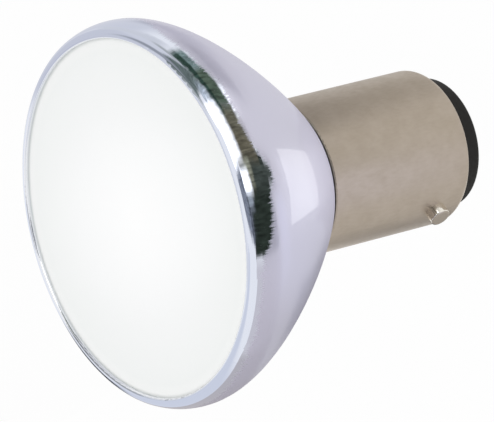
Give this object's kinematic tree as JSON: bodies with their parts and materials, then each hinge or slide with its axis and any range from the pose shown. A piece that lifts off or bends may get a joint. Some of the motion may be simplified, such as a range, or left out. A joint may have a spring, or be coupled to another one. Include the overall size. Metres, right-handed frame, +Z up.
{
  "type": "halogen reflector bulb",
  "caption": "Halogen reflector bulb: a bright aluminium bowl closed by a frosted front glass, on a bayonet cap with side pins and soldered end contacts.",
  "frame": {"origin": "on the lamp's axis, in the plane of the bayonet pins", "axes": "+Y along the lamp's axis from the front glass to the contacts, so the lamp shines along -Y; X along the bayonet pins; +Z up, along the line of the contacts"},
  "size_m": [0.037, 0.0378, 0.037],
  "materials": {
    "bright_aluminium": "bright anodised, slightly hazy",
    "frosted_glass": "acid frosted, white",
    "nickel_plated_brass": "dull nickel plate",
    "black_insulator": "moulded, satin black",
    "quartz_glass": "clear",
    "basing_cement": "matt",
    "nickel_wire": "drawn",
    "contact_brass": "plain",
    "solder": "dull bright"
  },
  "bodies": {
    "root": {"reflector": "bright_aluminium", "front_glass": "frosted_glass", "cap_shell": "nickel_plated_brass", "bayonet_pin_right": "nickel_plated_brass", "bayonet_pin_left": "nickel_plated_brass", "cap_insulator": "black_insulator", "halogen_capsule": "quartz_glass", "capsule_cement": "basing_cement", "lead_wire_top": "nickel_wire", "lead_wire_bottom": "nickel_wire", "contact_plate_top": "contact_brass", "contact_plate_bottom": "contact_brass", "solder_point_top": "solder", "solder_point_bottom": "solder"}
  },
  "joints": []
}
